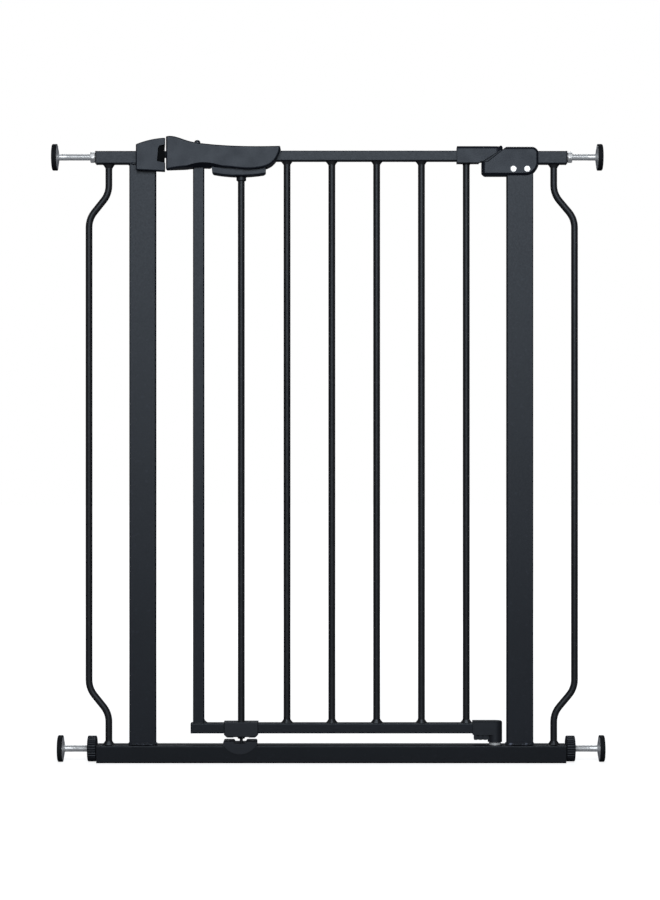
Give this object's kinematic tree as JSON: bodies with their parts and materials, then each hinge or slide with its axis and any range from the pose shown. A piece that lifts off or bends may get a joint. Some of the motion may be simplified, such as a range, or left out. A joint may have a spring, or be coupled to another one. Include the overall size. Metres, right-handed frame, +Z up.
{
  "type": "safety baby gate",
  "caption": "Pressure-mounted safety gate: barred swing door with squeeze latch, lock rod and self-closing hinge in a U-shaped steel frame with threaded wall spindles.",
  "frame": {"origin": "centre of the bottom rail's flat underside, on the floor", "axes": "+X to the hinge side, seen from the front; +Y away from the front; +Z up"},
  "size_m": [0.6903, 0.034, 0.7808],
  "materials": {
    "powder_coat": "satin",
    "housing_plastic": "matte",
    "black_plastic": "matte",
    "zinc": "satin",
    "bright_steel": "gloss",
    "spring_steel": "satin",
    "rubber": "matte"
  },
  "bodies": {
    "frame": {"arm_end_caps": "black_plastic", "bottom_rail": "powder_coat", "catch_housing": "housing_plastic", "catch_screws": "bright_steel", "frame_weld_beads": "powder_coat", "hinge_bracket": "housing_plastic", "hinge_rivets": "bright_steel", "latch_receiver": "black_plastic", "left_side_rod": "powder_coat", "left_top_arm": "powder_coat", "left_upright": "powder_coat", "lower_pivot_pin": "zinc", "rail_end_guides": "black_plastic", "receiver_rivets": "bright_steel", "right_side_rod": "powder_coat", "right_top_arm": "powder_coat", "right_upright": "powder_coat", "strike_insert": "black_plastic"},
    "hinge_pin": {"upper_hinge_pin": "zinc"},
    "door": {"door_top_rail": "powder_coat", "door_bottom_rail": "powder_coat", "door_stile": "powder_coat", "door_weld_beads": "powder_coat", "door_rail_cap": "black_plastic", "upper_hinge_arm": "housing_plastic", "lower_hinge_block": "black_plastic", "latch_guide": "black_plastic", "handle_front_cover": "housing_plastic", "handle_back_cover": "housing_plastic", "handle_screws": "bright_steel", "bolt_spring": "spring_steel", "release_spring": "spring_steel", "button_spring": "spring_steel", "door_bar_1": "powder_coat", "door_bar_2": "powder_coat", "door_bar_3": "powder_coat", "door_bar_4": "powder_coat", "door_bar_5": "powder_coat"},
    "release": {"squeeze_trigger": "housing_plastic", "cam_plate": "zinc", "rod_collar": "black_plastic", "lock_rod": "powder_coat"},
    "bolt": {"latch_bolt": "black_plastic", "cam_pin": "zinc"},
    "button": {"thumb_button": "housing_plastic"},
    "left_upper_foot": {"left_upper_spindle": "zinc", "left_upper_pad": "rubber"},
    "right_upper_foot": {"right_upper_spindle": "zinc", "right_upper_pad": "rubber"},
    "left_lower_foot": {"left_lower_spindle": "zinc", "left_lower_pad": "rubber"},
    "right_lower_foot": {"right_lower_spindle": "zinc", "right_lower_pad": "rubber"},
    "left_nut": {"left_nut": "bright_steel"},
    "right_nut": {"right_nut": "bright_steel"},
    "left_hand_wheel": {"left_hand_wheel": "black_plastic"},
    "right_hand_wheel": {"right_hand_wheel": "black_plastic"}
  },
  "joints": [
    {"name": "door_lift", "type": "slide", "parent": "frame", "child": "hinge_pin", "axis": [0, 0, 1], "range_m": [0, 0.013]},
    {"name": "door_swing", "type": "hinge", "parent": "hinge_pin", "child": "door", "pos_m": [0.2045, 0, 0.4], "axis": [0, 0, 1], "range_deg": [0, 90]},
    {"name": "trigger_squeeze", "type": "slide", "parent": "door", "child": "release", "axis": [0, 0, 1], "range_m": [0, 0.009], "stiffness_N_per_m": 300, "springref_m": -0.012, "deforming": ["release_spring"]},
    {"name": "bolt_retract", "type": "slide", "parent": "door", "child": "bolt", "axis": [1, 0, 0], "range_m": [0, 0.0091], "stiffness_N_per_m": 120, "springref_m": -0.01, "deforming": ["bolt_spring"]},
    {"name": "button_press", "type": "slide", "parent": "door", "child": "button", "axis": [0, 0, -1], "range_m": [0, 0.002], "stiffness_N_per_m": 300, "springref_m": -0.002, "deforming": ["button_spring"]},
    {"name": "left_nut_turn", "type": "hinge", "parent": "frame", "child": "left_nut", "pos_m": [-0.298, 0, 0.7558], "axis": [-1, 0, 0], "range_deg": [-5765, 7925]},
    {"name": "left_upper_spindle_slide", "type": "slide", "parent": "frame", "child": "left_upper_foot", "axis": [-1, 0, 0], "range_m": [-0.0275, 0.02]},
    {"name": "right_nut_turn", "type": "hinge", "parent": "frame", "child": "right_nut", "pos_m": [0.298, 0, 0.7558], "axis": [1, 0, 0], "range_deg": [-5765, 7925]},
    {"name": "right_upper_spindle_slide", "type": "slide", "parent": "frame", "child": "right_upper_foot", "axis": [1, 0, 0], "range_m": [-0.0275, 0.02]},
    {"name": "left_hand_wheel_turn", "type": "hinge", "parent": "frame", "child": "left_hand_wheel", "pos_m": [-0.298, 0, 0.0169], "axis": [-1, 0, 0], "range_deg": [-5765, 7925]},
    {"name": "left_lower_spindle_slide", "type": "slide", "parent": "frame", "child": "left_lower_foot", "axis": [-1, 0, 0], "range_m": [-0.0275, 0.02]},
    {"name": "right_hand_wheel_turn", "type": "hinge", "parent": "frame", "child": "right_hand_wheel", "pos_m": [0.298, 0, 0.0169], "axis": [1, 0, 0], "range_deg": [-5765, 7925]},
    {"name": "right_lower_spindle_slide", "type": "slide", "parent": "frame", "child": "right_lower_foot", "axis": [1, 0, 0], "range_m": [-0.0275, 0.02]}
  ],
  "couplings": [
    {"joint": "door_lift", "follows": "door_swing", "m_per_rad": 0.0082},
    {"joint": "bolt_retract", "follows": "trigger_squeeze", "ratio": 1},
    {"joint": "left_nut_turn", "follows": "left_upper_spindle_slide", "rad_per_m": -5026.5},
    {"joint": "right_nut_turn", "follows": "right_upper_spindle_slide", "rad_per_m": -5026.5},
    {"joint": "left_hand_wheel_turn", "follows": "left_lower_spindle_slide", "rad_per_m": -5026.5},
    {"joint": "right_hand_wheel_turn", "follows": "right_lower_spindle_slide", "rad_per_m": -5026.5}
  ]
}
